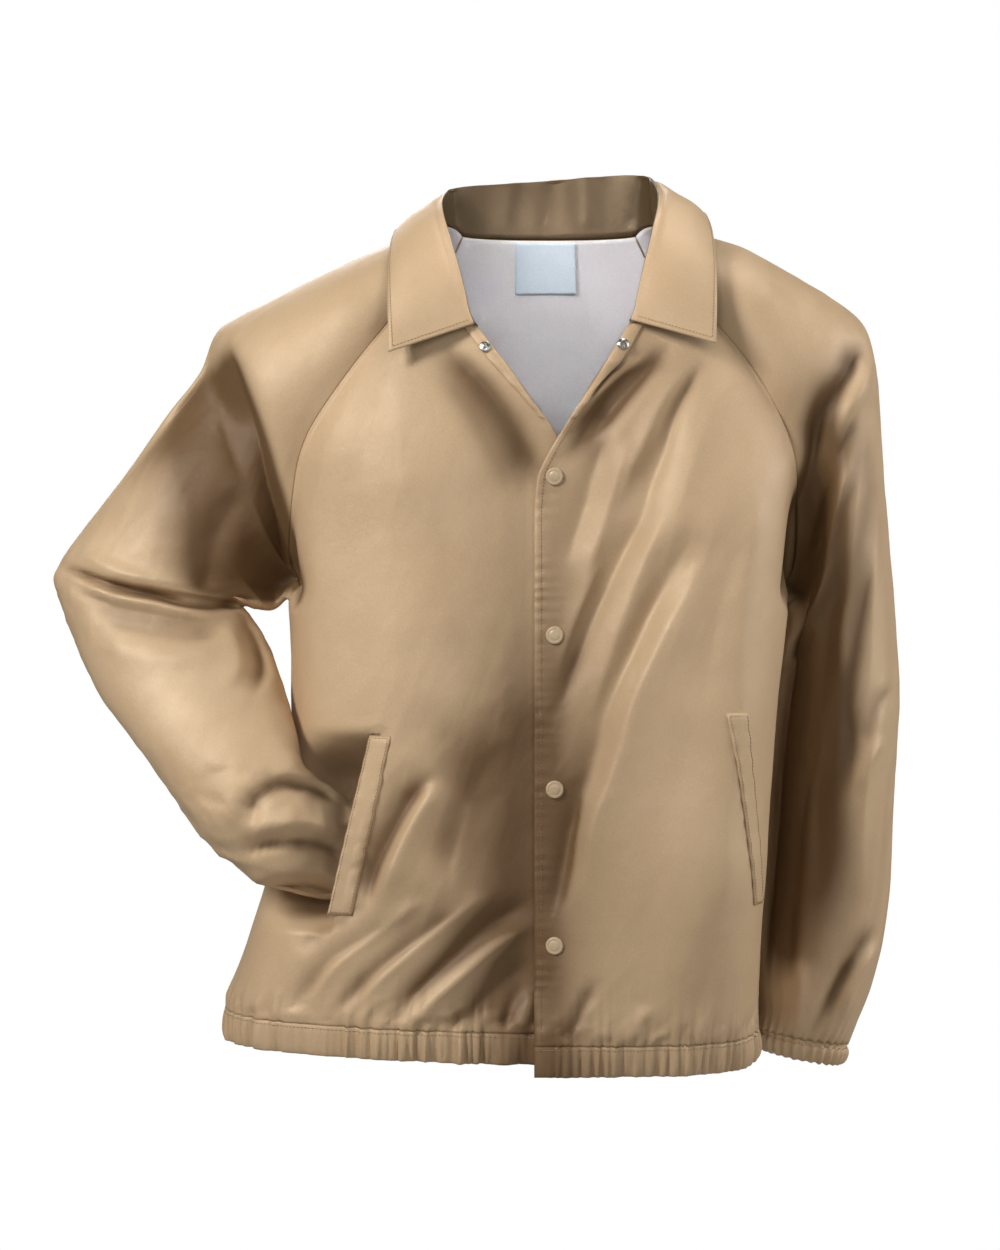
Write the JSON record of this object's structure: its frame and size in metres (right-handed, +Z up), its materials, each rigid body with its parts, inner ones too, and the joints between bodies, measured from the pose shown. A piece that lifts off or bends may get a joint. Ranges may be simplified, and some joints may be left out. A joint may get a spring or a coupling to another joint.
{
  "type": "coach jacket",
  "caption": "Lined coach jacket filled out as worn: pointed collar, raglan sleeves, snap front, slanted pocket welts and gathered hem, one bent sleeve tucked in a pocket.",
  "frame": {"origin": "middle of the neck at the height of the shoulder line, where the wearer's shoulders and neck hold the jacket up", "axes": "+Z up, the front faces -Y, +X is towards the wearer's left, the viewer's right in the front view"},
  "size_m": [0.7415, 0.2787, 0.7861],
  "materials": {
    "shell_cloth": "tan plain-weave nylon with a soft satin sheen",
    "lining_cloth": "light grey lining with a soft sheen",
    "label_cloth": "smooth white woven tape, left bare",
    "snap_cap": "tan lacquered metal caps",
    "snap_metal": "bare bright metal socket and stud"
  },
  "bodies": {
    "root": {"left_front": "shell_cloth", "right_front": "shell_cloth", "back": "shell_cloth", "left_sleeve": "shell_cloth", "right_sleeve": "shell_cloth", "collar": "shell_cloth", "left_facing": "shell_cloth", "right_facing": "shell_cloth", "left_welt": "shell_cloth", "right_welt": "shell_cloth", "left_front_casing": "shell_cloth", "right_front_casing": "shell_cloth", "back_casing": "shell_cloth", "left_cuff": "shell_cloth", "right_cuff": "shell_cloth", "back_lining": "lining_cloth", "neck_label": "label_cloth", "snap_1": "snap_cap", "snap_2": "snap_cap", "snap_3": "snap_cap", "snap_4": "snap_cap", "open_socket": "snap_metal", "open_stud": "snap_metal"}
  },
  "joints": []
}
